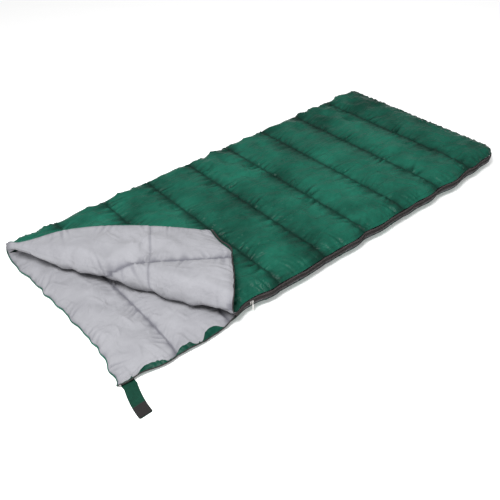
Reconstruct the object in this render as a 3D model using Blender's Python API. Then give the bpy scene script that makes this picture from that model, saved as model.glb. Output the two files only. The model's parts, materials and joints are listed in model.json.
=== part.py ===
"""Rectangular quilted sleeping bag, lying flat, zipped from the foot almost to the head.

One wide quilt is folded in half along its far side, so it makes a lower and an upper quilt. An
L-shaped zip joins their near edges and their foot edges. The zip is open at the head, and the free
corner of the upper quilt is folded back over the bag along a slanting crease. A hook-and-loop strap
lies on the floor by the head corner.

Metres, +Z up. X runs along the bag from head (-X) to foot (+X). The zip is on the -Y side and the
folded side is at +Y. The origin is the middle of the underside.
"""

import math

import bmesh
import bpy
from mathutils import Matrix, Vector

# Driving dimensions
LENGTH = 1.905
WIDTH = 0.865
CHANNELS = 9
LOWER_TOP = 0.040  # crown of the lower quilt
UPPER_BOTTOM = 0.054  # underside of the upper quilt, so 14 mm are free between the quilts
UPPER_TOP = 0.096  # crown of the upper quilt
ZIP_Z = 0.047  # middle of the zip
CREASE_RUN = 0.410  # how far from the head the crease meets the zip side
CREASE_ROLL = 0.0425  # width of the bend beside the crease
SLIDER_X = -0.437

# Quilt details
CLOTH = 0.0012
GAP = 0.0003  # between touching pieces
LOWER_SEAM_TOP = 0.018
LOWER_EDGE = (0.022, 0.034)  # underside and top of the lower quilt at its zip edge
UPPER_EDGE = (0.059, 0.069)
HEM = (0.003, 0.015)  # underside and top of the lower quilt at its head hem
SEAM_SHARE = 0.30  # how much of the loft is left at a row of stitching
TAPER = 0.075  # width of the band where a quilt thins towards an edge
HEAD_TAPER = 0.050
HEM_INSET = 0.008  # how far the fill stays from a quilt's edge
SEAM_INSET = 0.004  # and from a row of stitching
FOOT_CORNER = 0.075
SIDE_FOLD = 0.048  # depth of the rounded far side
CHANNEL_LINES = (0.0, 0.14, 0.5, 0.86)
TAPER_MIDDLE = 0.034

# Zip details
TAPE = 0.0010
TAPE_GAP = 0.0018  # between the two tapes
LOWER_TAPE_FOOT = 0.0245
UPPER_TAPE_HEAD = 0.0690
COIL_RADIUS = 0.0015
COIL_OFFSET = 0.0022  # each coil's centre from the middle of the zip
SLIDER_LENGTH = 0.014
SLIDER_HALF_HEIGHT = 0.0062
PLATE = 0.0013
BAIL_WIRE = 0.0008
BAIL_REACH = 0.0036
RING_RADIUS = 0.0026
RING_WIRE = 0.0006
PULL_LENGTH = 0.030
PULL_HALF_WIDTH = 0.0042
PULL_THICKNESS = 0.0013
PULL_EYE = 0.0019

# Strap details
STRAP_WIDTH = 0.045
STRAP_LENGTH = 0.124
STRAP_THICKNESS = 0.0016
STRAP_INSET = 0.015  # from the head edge
STRAP_DRIFT = 0.020  # how far towards the head the strap's tip lies from its root
STRAP_CLEARANCE = 0.0026  # from the zip tape
STRAP_TOP = 0.0255  # height of the strap's sewn end
STRAP_SLOPE = 0.026  # how far out the strap reaches the floor
STRAP_BEND = 0.058  # how far out the strap's second fold lies
HOOK_LENGTH = 0.047
PATCH = 0.0016

HEAD = -LENGTH / 2
FOOT = LENGTH / 2
NEAR = -WIDTH / 2
FOLD_Y = WIDTH / 2 - SIDE_FOLD  # where the flat quilts meet the rounded side
PITCH = LENGTH / CHANNELS
AXIS_Z = UPPER_TOP + 0.0006  # height of the crease's axis
CREASE_A = Vector((HEAD, FOLD_Y, AXIS_Z))
CREASE_Z = Vector((HEAD + CREASE_RUN, NEAR, AXIS_Z))
CREASE = (CREASE_Z - CREASE_A).normalized()
ACROSS_CREASE = Vector((-CREASE.y, CREASE.x, 0.0))  # points towards the foot

COLOURS = {
    "shell": ((0.010, 0.125, 0.073), 0.45, 0.0),
    "lining": ((0.50, 0.50, 0.54), 0.6, 0.0),
    "fill": ((0.80, 0.80, 0.78), 0.9, 0.0),
    "zip": ((0.035, 0.028, 0.027), 0.7, 0.0),
    "metal": ((0.62, 0.62, 0.60), 0.3, 1.0),
    "strap": ((0.010, 0.110, 0.065), 0.7, 0.0),
    "hook": ((0.025, 0.022, 0.022), 0.9, 0.0),
}


def clear_scene():
    for obj in list(bpy.data.objects):
        bpy.data.objects.remove(obj)


def make_materials():
    made = {}
    for name, (colour, roughness, metallic) in COLOURS.items():
        material = bpy.data.materials.new(name)
        material.use_nodes = True
        shader = material.node_tree.nodes["Principled BSDF"]
        shader.inputs["Base Color"].default_value = (*colour, 1.0)
        shader.inputs["Roughness"].default_value = roughness
        shader.inputs["Metallic"].default_value = metallic
        made[name] = material
    return made


def ramp(distance, width):
    """0 at a quilt's edge and 1 past width, rounded like a pillow's side."""
    share = min(max(distance / width, 0.0), 1.0)
    return math.sqrt(1.0 - (1.0 - share) ** 2)


def crown(x):
    """0 at a row of stitching and 1 in the middle of a channel."""
    share = ((x - HEAD) / PITCH) % 1.0
    if share < 1e-4 or share > 1 - 1e-4:
        return 0.0
    return math.sin(math.pi * share) ** 0.6


def zip_ramp(x, y):
    return min(ramp(y - NEAR, TAPER), ramp(FOOT - x, TAPER))


def mix(a, b, share):
    return a + (b - a) * share


def lower_bottom(x, y):
    edge = LOWER_EDGE[0] * (1.0 - zip_ramp(x, y)) ** 2
    head = HEM[0] * (1.0 - ramp(x - HEAD, HEAD_TAPER)) ** 2
    return max(mix(edge, head, 1.0 - ramp(x - HEAD, HEAD_TAPER)), 0.0)


def lower_top(x, y):
    inside = mix(LOWER_SEAM_TOP, LOWER_TOP, crown(x))
    return mix(HEM[1], mix(LOWER_EDGE[1], inside, zip_ramp(x, y)), ramp(x - HEAD, HEAD_TAPER))


def upper_bottom(x, y):
    return mix(UPPER_EDGE[0], UPPER_BOTTOM, zip_ramp(x, y))


def upper_top(x, y):
    loft = mix(SEAM_SHARE, 1.0, crown(x)) * zip_ramp(x, y)
    return mix(UPPER_EDGE[1], UPPER_TOP, loft * ramp(x - HEAD, HEAD_TAPER))


def raised(surface, by):
    return lambda x, y: surface(x, y) + by


def round_foot_corner(x, y):
    """Turns the square corner at the foot of the zip side into a round one."""
    u = (x - (FOOT - FOOT_CORNER)) / FOOT_CORNER
    v = (NEAR + FOOT_CORNER - y) / FOOT_CORNER
    if u <= 0 or v <= 0:
        return x, y
    rounded_u = u * math.sqrt(1.0 - v * v / 2.0)
    rounded_v = v * math.sqrt(1.0 - u * u / 2.0)
    return FOOT - FOOT_CORNER + rounded_u * FOOT_CORNER, NEAR + FOOT_CORNER - rounded_v * FOOT_CORNER


def cut_away(bm, point, normal):
    """Removes what lies on the normal's side of a plane, and closes the cut."""
    geometry = bm.verts[:] + bm.edges[:] + bm.faces[:]
    bmesh.ops.bisect_plane(
        bm, geom=geometry, dist=1e-7, plane_co=point, plane_no=normal, clear_outer=True
    )
    bmesh.ops.holes_fill(bm, edges=bm.edges[:])


def divided_box(us, vs):
    """A box with a vertex at each of us along X and each of vs along Y, and with Z at 0 and 1."""
    bm = bmesh.new()
    columns, rows = len(us) - 1, len(vs) - 1
    bmesh.ops.create_grid(bm, x_segments=columns, y_segments=rows, size=0.5)
    for vertex in bm.verts:
        column = round((vertex.co.x + 0.5) * columns)
        row = round((vertex.co.y + 0.5) * rows)
        vertex.co = (us[column], vs[row], 0)
    bmesh.ops.triangulate(bm, faces=bm.faces[:], quad_method="FIXED")
    raised_part = bmesh.ops.extrude_face_region(bm, geom=bm.faces[:])["geom"]
    for vertex in [v for v in raised_part if isinstance(v, bmesh.types.BMVert)]:
        vertex.co.z = 1
    return bm


def finish(bm, name, material, parent=None, origin=None):
    """Makes the object, with its origin at the given point and its mesh where it was built."""
    bmesh.ops.recalc_face_normals(bm, faces=bm.faces[:])
    if bm.calc_volume(signed=True) < 0:
        bmesh.ops.reverse_faces(bm, faces=bm.faces[:])
    mesh = bpy.data.meshes.new(name)
    place = Matrix.Translation(origin or (0, 0, 0))
    bmesh.ops.transform(bm, matrix=place.inverted(), verts=bm.verts[:])
    bm.to_mesh(mesh)
    bm.free()
    obj = bpy.data.objects.new(name, mesh)
    obj.matrix_world = place
    return link(obj, material, parent)


def link(obj, material, parent=None):
    obj.data.materials.append(MATERIALS[material])
    BAG.objects.link(obj)
    if parent is not None:
        obj.parent = parent
        obj.matrix_parent_inverse = Matrix.Translation(parent.location).inverted()
    return obj


def slab(name, material, spans, low, high, side=None, parent=None):
    """A closed sheet or pad between the surfaces low(x, y) and high(x, y), over the spans ((x0, x1),
    (y0, y1)). side -1 keeps the head side of the crease, and 1 the foot side."""
    (x0, x1), (y0, y1) = spans
    bm = divided_box(lines_round(GRID_X, x0, x1), lines_round(GRID_Y, y0, y1))
    for vertex in bm.verts:
        x, y, w = vertex.co
        z = high(x, y) if w > 0.5 else low(x, y)
        vertex.co = (*round_foot_corner(x, y), z)
    cut_away(bm, (x0, 0, 0), (-1, 0, 0))
    cut_away(bm, (x1, 0, 0), (1, 0, 0))
    cut_away(bm, (0, y0, 0), (0, -1, 0))
    cut_away(bm, (0, y1, 0), (0, 1, 0))
    if side is not None:
        cut_away(bm, CREASE_A + ACROSS_CREASE * side * CREASE_ROLL, -ACROSS_CREASE * side)
    return finish(bm, name, material, parent)


def side_wall(name, material, xs, angles, inner, outer):
    """A closed wall round the folded far side, between two half ellipses in each cross-section."""
    bm = divided_box(xs, angles)
    for vertex in bm.verts:
        x, angle, w = vertex.co
        middle, reach, rise = (outer if w > 0.5 else inner)(x)
        vertex.co = (x, FOLD_Y + GAP + reach * math.cos(angle), middle + rise * math.sin(angle))
    return finish(bm, name, material)


def ribbon(name, material, path, side, low, high, thickness, parent=None, origin=None):
    """A band of constant thickness along path, reaching from low to high along the direction side."""
    side = Vector(side)
    points = [Vector(p) for p in path]
    steps = [(b - a).normalized() for a, b in zip(points, points[1:])]
    bm = divided_box(list(range(len(points))), [low, high])
    for vertex in bm.verts:
        i, across, w = vertex.co
        i = round(i)
        before, after = steps[max(i - 1, 0)], steps[min(i, len(steps) - 1)]
        normal = side.cross(before + after).normalized()
        miter = 1.0 / max(normal.dot(side.cross(after)), 0.5)
        vertex.co = points[i] + side * across + normal * thickness * w * miter
    return finish(bm, name, material, parent, origin)


def lines_round(lines, start, end):
    """The grid lines from the last one at or before start to the first one at or after end."""
    first = max(i for i, v in enumerate(lines) if v <= start + 1e-6)
    last = min(i for i, v in enumerate(lines) if v >= end - 1e-6)
    return lines[first : last + 1]


def grid_lines():
    xs = [HEAD + PITCH * (i + share) for i in range(CHANNELS) for share in CHANNEL_LINES]
    xs += [HEAD + HEM_INSET, HEAD + HEAD_TAPER, FOOT - TAPER, FOOT - TAPER_MIDDLE, FOOT - HEM_INSET, FOOT]
    ys = [NEAR, NEAR + HEM_INSET, NEAR + TAPER_MIDDLE, NEAR + TAPER, FOLD_Y]
    return sorted(xs), ys


def fills(prefix, low, high, side=None, channels=range(CHANNELS), parent=None):
    """One pad of fill in each sewn channel."""
    inset = CLOTH + GAP
    for i in channels:
        start = HEAD + PITCH * i + (HEM_INSET if i == 0 else SEAM_INSET)
        end = HEAD + PITCH * (i + 1) - (HEM_INSET if i == CHANNELS - 1 else SEAM_INSET)
        spans = ((start, end), (NEAR + HEM_INSET, FOLD_Y))
        slab(f"{prefix}_fill_{i + 1}", "fill", spans, raised(low, inset), raised(high, -inset), side, parent)


def lower_quilt():
    slab("lower_shell", "shell", QUILT, lower_bottom, raised(lower_bottom, CLOTH))
    slab("lower_lining", "lining", QUILT, raised(lower_top, -CLOTH), lower_top)
    fills("lower", lower_bottom, lower_top)


def upper_quilt():
    slab("upper_shell", "shell", QUILT, raised(upper_top, -CLOTH), upper_top, 1)
    slab("upper_lining", "lining", QUILT, upper_bottom, raised(upper_bottom, CLOTH), 1)
    fills("upper", upper_bottom, upper_top, 1)


def side_fold():
    """The rounded far side, where the quilt turns from the lower to the upper layer."""

    def outline(x, inset):
        top = upper_top(x, FOLD_Y) - inset
        bottom = lower_bottom(x, FOLD_Y) + inset
        reach = (SIDE_FOLD - GAP) * mix(0.80, 1.0, crown(x) * ramp(FOOT - x, TAPER))
        return (top + bottom) / 2, reach - inset, (top - bottom) / 2

    def inside(x, inset):
        low, high = lower_top(x, FOLD_Y) - inset, upper_bottom(x, FOLD_Y) + inset
        return (low + high) / 2, 0.010 + inset, (high - low) / 2

    angles = [math.radians(a) for a in (-90, -54, -18, 18, 54, 90)]
    fill_xs = lines_round(GRID_X, HEAD + HEM_INSET, FOOT - HEM_INSET)
    depth = CLOTH * 2
    walls = (
        ("side_fold_shell", "shell", GRID_X, lambda x: outline(x, CLOTH), lambda x: outline(x, 0)),
        ("side_fold_lining", "lining", GRID_X, lambda x: inside(x, 0), lambda x: inside(x, CLOTH)),
        ("side_fold_fill", "fill", fill_xs, lambda x: inside(x, depth), lambda x: outline(x, depth)),
    )
    for name, material, xs, inner, outer in walls:
        side_wall(name, material, xs, angles, inner, outer)


def hinge_empty(name, place):
    empty = bpy.data.objects.new(name, None)
    empty.location = place
    BAG.objects.link(empty)
    return empty


def flap():
    """The free corner of the upper quilt. It is built closed, on its empty, which then turns it half a turn
    about the crease, so it lies on the bag with its lining up."""
    hinge = hinge_empty("flap_hinge", CREASE_A)
    crease_end = HEAD + CREASE_RUN
    spans = ((HEAD, crease_end), (NEAR, FOLD_Y))
    slab("flap_shell", "shell", spans, raised(upper_top, -CLOTH), upper_top, -1, hinge)
    slab("flap_lining", "lining", spans, upper_bottom, raised(upper_bottom, CLOTH), -1, hinge)
    fills("flap", upper_bottom, upper_top, -1, range(2), hinge)

    end = Vector((crease_end - CREASE_ROLL / ACROSS_CREASE.x - TAPE, NEAR, 0))
    start = Vector((HEAD, NEAR, 0))
    zip_tape("flap_zip_tape", [start, end], ZIP_Z + TAPE_GAP / 2, UPPER_TAPE_HEAD, hinge)
    zip_coil("flap_zip_coil", [start, end], ZIP_Z + COIL_OFFSET, hinge)
    stop_block("flap_zip_stop", HEAD + 0.004, ZIP_Z + COIL_OFFSET, hinge)

    patch_x = (HEAD + STRAP_INSET, HEAD + STRAP_INSET + STRAP_WIDTH)
    patch_y = (NEAR + 0.004, NEAR + 0.004 + HOOK_LENGTH)
    patch_low, patch_high = raised(upper_top, GAP), raised(upper_top, GAP + PATCH)
    slab("loop_patch", "hook", (patch_x, patch_y), patch_low, patch_high, None, hinge)
    hinge.rotation_mode = "QUATERNION"
    hinge.rotation_quaternion = Matrix.Rotation(math.pi, 3, CREASE).to_quaternion()


def crease_roll():
    """The bend of the quilt from the upper layer up to the flap: a half-round bolster whose outermost line is
    the crease, and which thins out towards both ends."""
    span = (CREASE_Z - CREASE_A).length
    shares = [0.05, 0.09, 0.2, 0.4, 0.6, 0.8, 0.92, 0.975]
    angles = [math.radians(a) for a in range(-90, 91, 30)]
    bm = divided_box(shares, angles)
    for vertex in bm.verts:
        share, angle, w = vertex.co
        size = (CREASE_ROLL - GAP) * min(ramp(share - 0.03, 0.16), ramp(1.0 - share, 0.10))
        reach = GAP + w * math.cos(angle) * (size - GAP)
        rise = math.sin(angle) * size
        along = CREASE * (span * share) + ACROSS_CREASE * (CREASE_ROLL - reach)
        vertex.co = CREASE_A + along + Vector((0, 0, rise))
    bmesh.ops.remove_doubles(bm, verts=bm.verts[:], dist=1e-5)
    finish(bm, "flap_crease_roll", "lining", origin=CREASE_A)


def zip_path(start_x, far_y):
    """From start_x along the near edge, round the foot corner and across the foot to far_y. The corner's
    straight pieces touch its arc from outside."""
    centre = Vector((FOOT - FOOT_CORNER, NEAR + FOOT_CORNER, 0))
    half_step = math.radians(7.5)
    radius = FOOT_CORNER / math.cos(half_step)
    turns = [-math.pi / 2 + half_step * (2 * i + 1) for i in range(6)]
    points = [Vector((start_x, NEAR, 0))]
    points += [centre + radius * Vector((math.cos(a), math.sin(a), 0)) for a in turns]
    return points + [Vector((FOOT, far_y, 0))]


def zip_tape(name, path, low, high, parent=None):
    """A woven tape just outside path."""
    shifted = [p + outward(path, i) * GAP for i, p in enumerate(path)]
    ribbon(name, "zip", shifted, (0, 0, 1), low, high, -TAPE, parent)


def outward(path, i):
    """The direction out of the bag at point i of a zip path that runs from head to foot."""
    along = (path[min(i + 1, len(path) - 1)] - path[max(i - 1, 0)]).normalized()
    return Vector((along.y, -along.x, 0))


def zip_coil(name, path, height, parent=None):
    """A run of zip coil on the outside of its tape."""
    offset = 2 * GAP + TAPE + COIL_RADIUS
    curve = bpy.data.curves.new(name, "CURVE")
    curve.dimensions = "3D"
    curve.bevel_depth = COIL_RADIUS
    curve.bevel_resolution = 1
    curve.use_fill_caps = True
    spline = curve.splines.new("POLY")
    spline.points.add(len(path) - 1)
    for i, point in enumerate(path):
        place = point + outward(path, i) * offset + Vector((0, 0, height))
        spline.points[i].co = (*place, 1.0)
    link(bpy.data.objects.new(name, curve), "zip", parent)


def stop_block(name, x, height, parent=None):
    """The small crimp that ends a row of coil, just past the coil's end."""
    depth = 2 * COIL_RADIUS
    path = [(x - 0.009, NEAR - 2 * GAP - TAPE, height), (x - 0.0045, NEAR - 2 * GAP - TAPE, height)]
    ribbon(name, "metal", path, (0, 0, 1), -COIL_RADIUS, COIL_RADIUS, -depth, parent)


def zip_fastener():
    far_y = FOLD_Y + 0.012
    path = zip_path(HEAD, far_y)
    joined = zip_path(HEAD + CREASE_RUN + CREASE_ROLL / ACROSS_CREASE.x, far_y)
    zip_tape("lower_zip_tape", path, LOWER_TAPE_FOOT, ZIP_Z - TAPE_GAP / 2)
    zip_tape("upper_zip_tape", joined, ZIP_Z + TAPE_GAP / 2, UPPER_TAPE_HEAD)
    zip_coil("lower_zip_coil", path, ZIP_Z - COIL_OFFSET)
    zip_coil("upper_zip_coil", joined, ZIP_Z + COIL_OFFSET)
    stop_block("lower_zip_stop", HEAD + 0.004, ZIP_Z - COIL_OFFSET)
    end_x = FOOT + 2 * GAP + TAPE
    end = [(end_x, far_y + 0.0005, ZIP_Z), (end_x, far_y + 0.006, ZIP_Z)]
    ribbon("zip_end_stop", "metal", end, (0, 0, 1), -0.005, 0.005, -2 * COIL_RADIUS)


def outline_plate(name, outlines, half_depth, place, turn, parent=None):
    """A flat piece cut from closed outlines, the later ones being holes."""
    curve = bpy.data.curves.new(name, "CURVE")
    curve.dimensions = "2D"
    curve.fill_mode = "BOTH"
    curve.extrude = half_depth
    for outline in outlines:
        spline = curve.splines.new("POLY")
        spline.points.add(len(outline) - 1)
        spline.use_cyclic_u = True
        for point, (a, b) in zip(spline.points, outline):
            point.co = (a, b, 0, 1)
    obj = bpy.data.objects.new(name, curve)
    obj.location = place
    obj.rotation_euler = turn
    return link(obj, "metal", parent)


def arc(centre, radius, start, end, steps):
    turns = [math.radians(start + (end - start) * i / steps) for i in range(steps + 1)]
    return [(centre[0] + radius * math.cos(t), centre[1] + radius * math.sin(t)) for t in turns]


def slider():
    """Two plates on either side of the coils, joined by a thin web that runs between the coils, with
    flanges round them, so the slider can pass along the whole chain."""
    coil_out = 2 * GAP + TAPE + 2 * COIL_RADIUS
    front = -coil_out - 0.0004  # inner face of the outer plate, measured from the bag's edge
    back = 0.0004  # outer face of the inner plate
    flange = -GAP * 2 - TAPE - 0.0004
    rim = COIL_OFFSET + COIL_RADIUS + 0.0005
    web = 0.0004
    half = SLIDER_HALF_HEIGHT
    upper = [(front - PLATE, half), (flange, half), (flange, rim), (front, rim), (front, web), (back, web)]
    upper += [(back, half), (back + PLATE, half)]
    outline = upper + [(y, -z) for y, z in reversed(upper)]
    place = (SLIDER_X, NEAR, ZIP_Z)
    outline_plate("slider_body", [outline], SLIDER_LENGTH / 2, place, (math.pi / 2, 0, math.pi / 2))

    plate_y = NEAR + front - PLATE
    bar_y = plate_y - BAIL_REACH
    bail = bpy.data.curves.new("slider_bail", "CURVE")
    bail.dimensions = "3D"
    bail.bevel_depth = BAIL_WIRE
    bail.bevel_resolution = 1
    bail.use_fill_caps = True
    foot_y = plate_y - GAP
    half_span, corner = 0.0042, 0.0012
    route = [(-half_span, foot_y), (-half_span, bar_y + corner), (-half_span + corner, bar_y)]
    route += [(-x, y) for x, y in reversed(route)]
    spline = bail.splines.new("POLY")
    spline.points.add(len(route) - 1)
    for point, (x, y) in zip(spline.points, route):
        point.co = (x, y - bar_y, 0, 1)
    obj = bpy.data.objects.new("slider_bail", bail)
    obj.location = (SLIDER_X, bar_y, ZIP_Z)
    link(obj, "metal")
    return Vector((SLIDER_X, bar_y, ZIP_Z))


def pull(bar):
    """A small ring on the bail, and the tab that hangs from it."""
    drop = RING_RADIUS - RING_WIRE - BAIL_WIRE - GAP
    bpy.ops.mesh.primitive_torus_add(
        major_radius=RING_RADIUS,
        minor_radius=RING_WIRE,
        major_segments=16,
        minor_segments=6,
        location=bar,
        rotation=(0, math.pi / 2, 0),
    )
    ring = bpy.context.active_object
    ring.name = "pull_ring"
    for collection in list(ring.users_collection):
        collection.objects.unlink(ring)
    # The ring's centre hangs below the bail's bar, which is its origin and its axis.
    ring.data.transform(Matrix.Translation((drop, 0, 0)))
    ring.data.shade_smooth()
    link(ring, "metal")

    wire = bar + Vector((0, 0, -drop - RING_RADIUS))
    eye = -(PULL_EYE - RING_WIRE - GAP)
    top = eye + PULL_EYE + 0.0012
    bottom = top - PULL_LENGTH
    round_end = PULL_HALF_WIDTH * 0.7
    outline = arc((0, bottom + PULL_HALF_WIDTH), PULL_HALF_WIDTH, 180, 360, 8)
    outline += arc((0, top - round_end), round_end, 0, 180, 8)
    hole = arc((0, eye), PULL_EYE, 0, 324, 9)
    outline_plate("pull_tab", [outline, hole], PULL_THICKNESS / 2, wire, (math.pi / 2, 0, 0))


def strap():
    """The hook-and-loop strap: a sewn end, a first length down to the floor and a second one with the hook
    patch. The two lengths fold upwards where they meet, about a line just above them."""
    out = NEAR - GAP - TAPE - STRAP_CLEARANCE
    middle = HEAD + STRAP_INSET + STRAP_WIDTH / 2
    half = STRAP_WIDTH / 2
    floor = STRAP_THICKNESS

    def place(reach, height):
        return (middle - STRAP_DRIFT * (reach / STRAP_LENGTH) ** 2, out - reach, height)

    fall = [(0.0, 0.0), (0.20, 0.30), (0.55, 0.78), (1.0, 1.0)]
    base_path = [place(STRAP_SLOPE * a, mix(STRAP_TOP, floor, b)) for a, b in fall]
    base_path.append(place(STRAP_BEND - GAP, floor))
    tip_path = [place(reach, floor) for reach in (STRAP_BEND + GAP, STRAP_LENGTH)]
    root = Vector(place(0, STRAP_TOP))
    bend = Vector(place(STRAP_BEND, floor + GAP))
    sides = (-half, half, STRAP_THICKNESS)
    ribbon("strap_base", "strap", base_path, (1, 0, 0), *sides, origin=root)
    ribbon("strap_tip", "strap", tip_path, (1, 0, 0), *sides, origin=bend)
    patch_z = floor + GAP + PATCH
    reaches = (STRAP_LENGTH - HOOK_LENGTH, STRAP_LENGTH - 0.001)
    start, end = Vector(tip_path[0]), Vector(tip_path[1])
    shares = [(reach - STRAP_BEND) / (STRAP_LENGTH - STRAP_BEND) for reach in reaches]
    patch_path = [start.lerp(end, share) + Vector((0, 0, patch_z - floor)) for share in shares]
    ribbon("hook_patch", "hook", patch_path, (1, 0, 0), -half + 0.001, half - 0.001, PATCH, origin=bend)


GRID_X, GRID_Y = grid_lines()
QUILT = ((HEAD, FOOT), (NEAR, FOLD_Y))
clear_scene()
BAG = bpy.data.collections.new("sleeping_bag")
bpy.context.scene.collection.children.link(BAG)
MATERIALS = make_materials()
lower_quilt()
upper_quilt()
side_fold()
flap()
crease_roll()
zip_fastener()
pull(slider())
strap()
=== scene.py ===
"""Looks for the rectangular sleeping bag: two quilts joined along a folded side, a zip round the other two
sides, and the free corner of the upper quilt turned back so its lining shows.

Every cloth starts as a flat sheet, x along the bag and s across it from the zip edge. Both quilts take
their swell and creases from one cloth simulation of a channelled quilt. They are then wrapped round the
folded side, rounded at the foot corner and carried round the flap's crease, so each cloth stays one piece.
"""

import json
import math

import bpy
import numpy as np
from mathutils import Matrix, Vector


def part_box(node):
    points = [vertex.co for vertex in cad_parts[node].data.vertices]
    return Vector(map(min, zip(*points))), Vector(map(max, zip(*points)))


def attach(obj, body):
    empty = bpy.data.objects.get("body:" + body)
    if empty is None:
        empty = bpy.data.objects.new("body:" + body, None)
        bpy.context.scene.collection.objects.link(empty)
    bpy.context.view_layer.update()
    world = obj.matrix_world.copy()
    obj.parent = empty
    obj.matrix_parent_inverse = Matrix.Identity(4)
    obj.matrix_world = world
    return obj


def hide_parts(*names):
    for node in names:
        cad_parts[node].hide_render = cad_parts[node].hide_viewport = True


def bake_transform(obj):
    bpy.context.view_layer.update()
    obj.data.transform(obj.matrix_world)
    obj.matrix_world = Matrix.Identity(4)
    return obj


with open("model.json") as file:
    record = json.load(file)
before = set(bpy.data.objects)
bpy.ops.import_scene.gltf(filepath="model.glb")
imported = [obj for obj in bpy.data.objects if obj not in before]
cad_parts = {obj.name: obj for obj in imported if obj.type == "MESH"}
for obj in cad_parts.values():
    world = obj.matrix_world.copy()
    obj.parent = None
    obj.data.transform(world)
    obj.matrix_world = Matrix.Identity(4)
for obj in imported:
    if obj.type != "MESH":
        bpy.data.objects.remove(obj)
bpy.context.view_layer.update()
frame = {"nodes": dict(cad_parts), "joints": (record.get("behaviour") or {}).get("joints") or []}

# Places and sizes of the frame
HEAD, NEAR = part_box("lower_shell")[0].xy
FOOT, FOLD_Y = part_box("lower_shell")[1].xy
LENGTH = FOOT - HEAD
CHANNELS = 9
PITCH = LENGTH / CHANNELS
UPPER_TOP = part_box("upper_shell")[1].z
UPPER_SAG = 0.003
UPPER_MIDDLE = (UPPER_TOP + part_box("upper_lining")[0].z) / 2 - UPPER_SAG
LOWER_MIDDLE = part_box("lower_lining")[1].z / 2
SIDE_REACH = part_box("side_fold_shell")[1].y - FOLD_Y
SIDE_Z = UPPER_TOP / 2
HALF_FLAT = FOLD_Y - NEAR + SIDE_REACH * math.pi / 2
FOOT_CORNER = 0.075
CORNER_X, CORNER_Y = FOOT - FOOT_CORNER, NEAR + FOOT_CORNER  # the centre of the round corner
EDGE_FADE = 0.10  # how far in from the zip edge its sway is felt
ZIP_END_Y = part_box("lower_zip_tape")[1].y
ZIP_Z = (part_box("lower_zip_tape")[1].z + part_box("upper_zip_tape")[0].z) / 2
SLIDER_X = sum(corner.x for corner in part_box("slider_body")) / 2
OPEN_START = SLIDER_X - 0.015  # from here to the head the zip is open
UPPER_EDGE_Z, LOWER_EDGE_Z = 0.064, 0.028  # heights of the two zip edges
HEM_Z = 0.010  # and of the lower quilt's head hem
ZIP_BOW = 0.016  # how far the closed zip bows outward between the slider and the foot corner
FLAP_BOW = 0.034  # and the flap's zip edge between the slider and its tip
TIP_DRAW = 0.046  # how far the flap's tip is drawn in
OPEN_DROP, OPEN_TAPE_DROP = 0.016, 0.031  # how far the lower edge and its tape sink where the zip is open
OPEN_LIFT = 0.007  # and how far the upper edge rises there
LINING_CLEARANCE = 0.010  # of the upper lining from the crease's axis
HALF_LOFT = 0.0203
THINNEST = 0.0015  # half of the quilt's least thickness
PUCKER_HEIGHT = 0.0034
JOIN_PLACE = 0.262  # of the lining's lengthwise join, across the quilt from the zip edge
FACING_OVERLAP = 0.005
SHELL_SEED, LINING_SEED = 10, 30
SEAM_LOFT = 0.15  # share of the loft that is left at a row of stitching
SIDE_SEAM_LOFT = 0.84  # and on the rounded side, which stands on its edge

JOINTS = {joint["name"]: joint for joint in frame["joints"]}
CREASE_POINT = np.array(JOINTS["flap_fold"]["pos_m"])
ALONG = np.array(JOINTS["flap_fold"]["axis"]) / np.linalg.norm(JOINTS["flap_fold"]["axis"])
ACROSS = np.array([-ALONG[1], ALONG[0], 0.0])
AXIS_Z = CREASE_POINT[2]
AXIS_MARGIN = 0.0006  # half of the height over which a cloth passes from the bag to the flap
HIGHEST = AXIS_Z - 2 * AXIS_MARGIN  # of the closed bag
CREASE_LENGTH = (NEAR - FOLD_Y) / ALONG[1]
ROLL, ROLL_AT_SIDE = 0.0425, 0.010  # reach of the bend on both sides of the crease, and at the folded side

FLOOR_REACH = 12.0
WEBBING_RIBS = 1292

# Simulation and mesh sizes
HEM_STITCH = 2  # cells in from the edge
COARSE = 24  # simulated cells in each channel
COARSE_ROWS = 98
FINE = 48  # cells in each channel of a finished cloth
FINE_ROWS = 196
TAPER, HEAD_TAPER = 0.075, 0.050  # how far in from the edges, and from the head, the loft is full


def smooth(value):
    value = np.clip(value, 0.0, 1.0)
    return value * value * (3 - 2 * value)


def bump(value, centre, width):
    """1 at centre, fading over width on both sides."""
    return np.exp(-(((value - centre) / width) ** 2))


def ripple(q, seed, wavelength, spread=0.35, waves=12):
    """A smooth random wave along q with a height of about 1."""
    rng = np.random.default_rng(seed)
    total = 0.0
    for _ in range(waves):
        pace = 2 * math.pi / (wavelength * rng.uniform(1 - spread, 1 + spread))
        total = total + np.sin(pace * q + rng.uniform(0, 2 * math.pi))
    return total / math.sqrt(waves / 2)


def fading(value, reach):
    """1 up to 0, fading over reach past it."""
    return np.exp(-np.clip(value, 0, None) / reach)


def columns_of(points):
    """The x, s and z, or the x, y and z, of every point."""
    return np.moveaxis(points, -1, 0)


def beside(distance, start, reach):
    """0 on a seam, rising over start and fading over reach."""
    return np.exp(-distance / reach) * (1 - np.exp(-distance / start))


def add_object(name, data):
    thing = bpy.data.objects.new(name, data)
    bpy.context.scene.collection.objects.link(thing)
    return thing


def set_inputs(node, **values):
    for key, value in values.items():
        node.inputs[key.replace("_", " ")].default_value = value


# ---- camera, light and floor


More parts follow.
